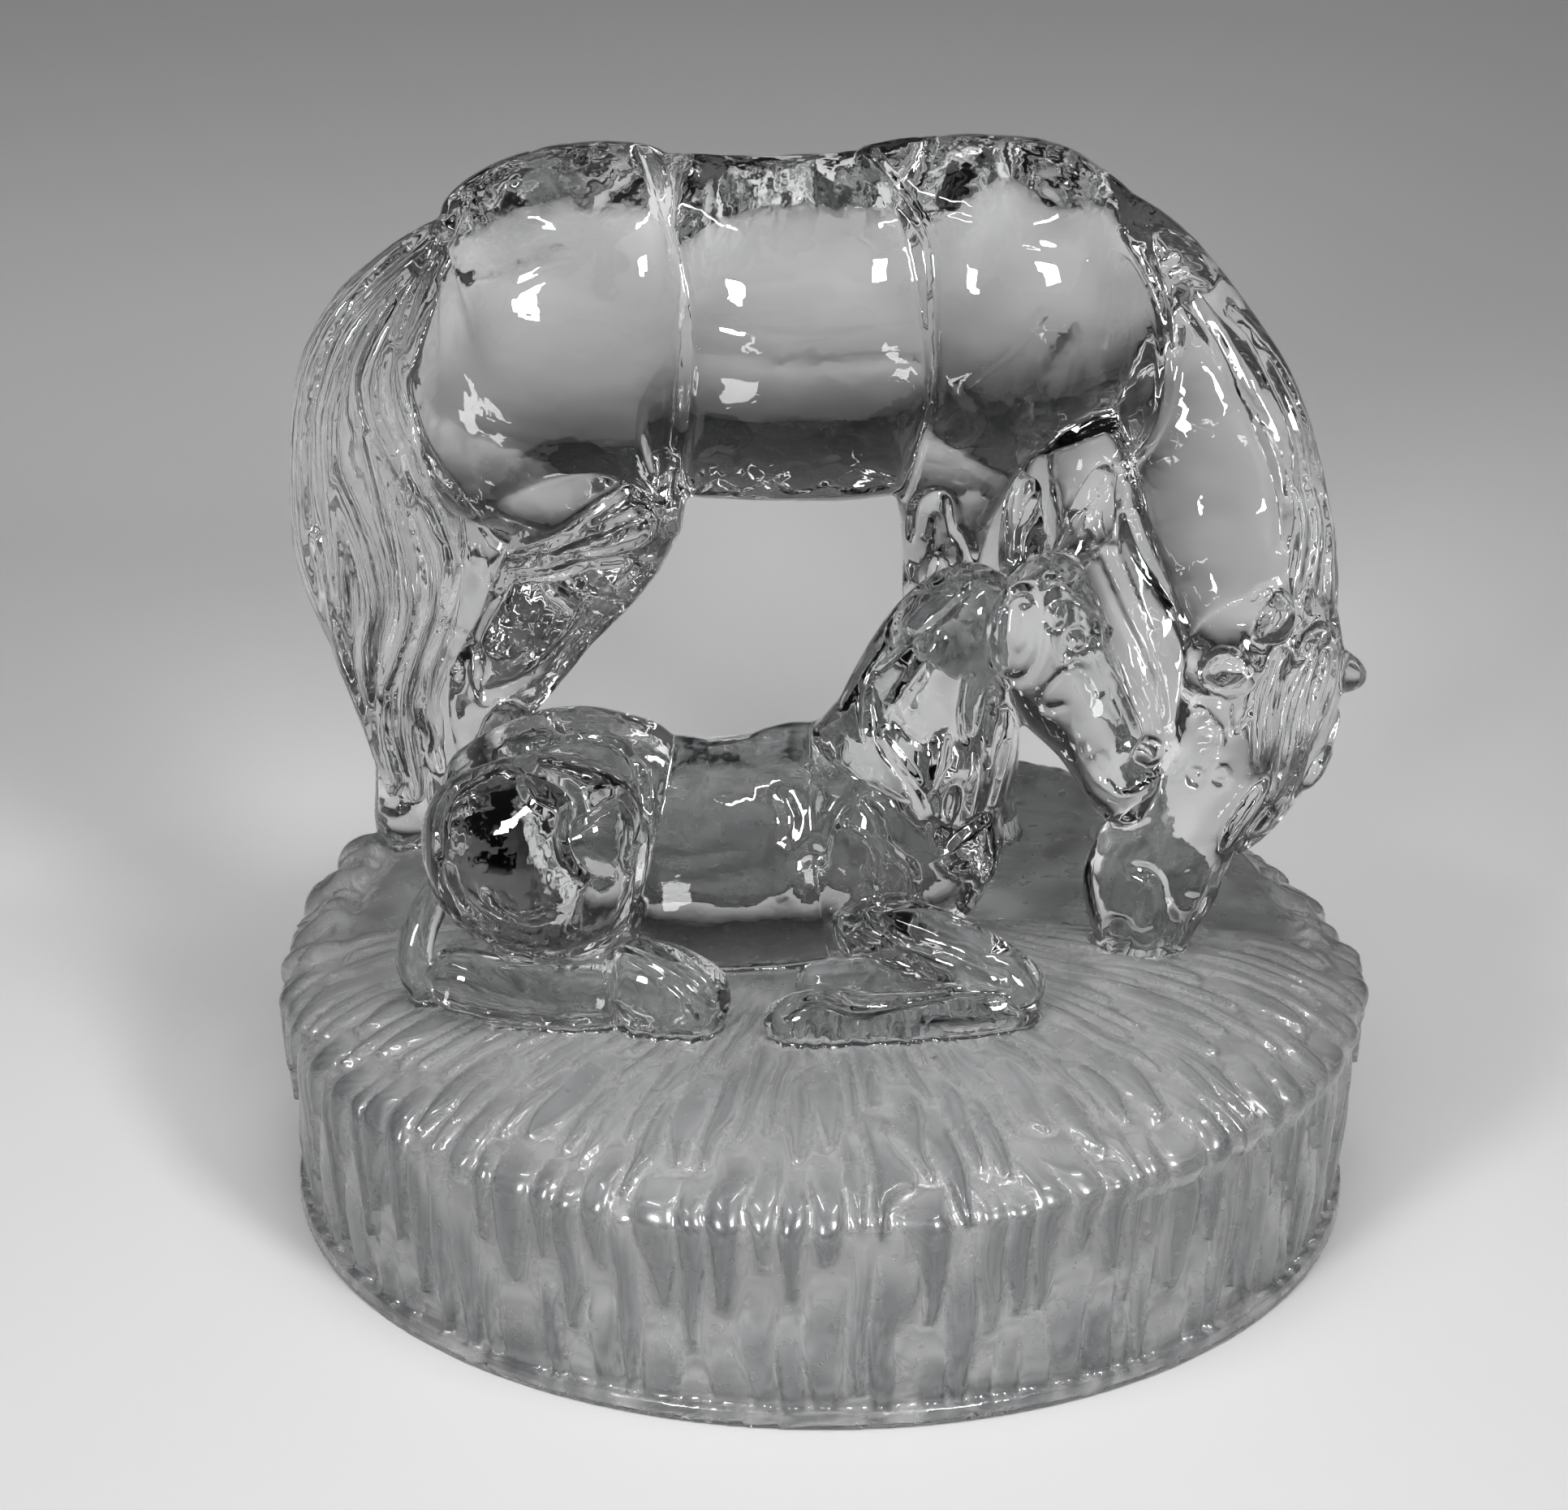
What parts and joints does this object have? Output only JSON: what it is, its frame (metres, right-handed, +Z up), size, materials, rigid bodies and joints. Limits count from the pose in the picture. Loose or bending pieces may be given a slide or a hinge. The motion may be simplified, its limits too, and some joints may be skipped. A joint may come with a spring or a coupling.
{
  "type": "crystal mare and foal figurine",
  "caption": "Clear pressed-crystal ornament: a standing mare lowers her head to a resting foal, both fused to a round fluted grass base that rests flat on a shelf or table.",
  "frame": {"origin": "middle of the flat round underside", "axes": "+X the way the mare faces, -Y the front, where the foal lies, +Z up"},
  "size_m": [0.1284, 0.1282, 0.1235],
  "materials": {
    "crystal": "clear, fire-polished, with a frosted underside"
  },
  "bodies": {
    "root": {"mare_and_foal": "crystal"}
  },
  "joints": []
}
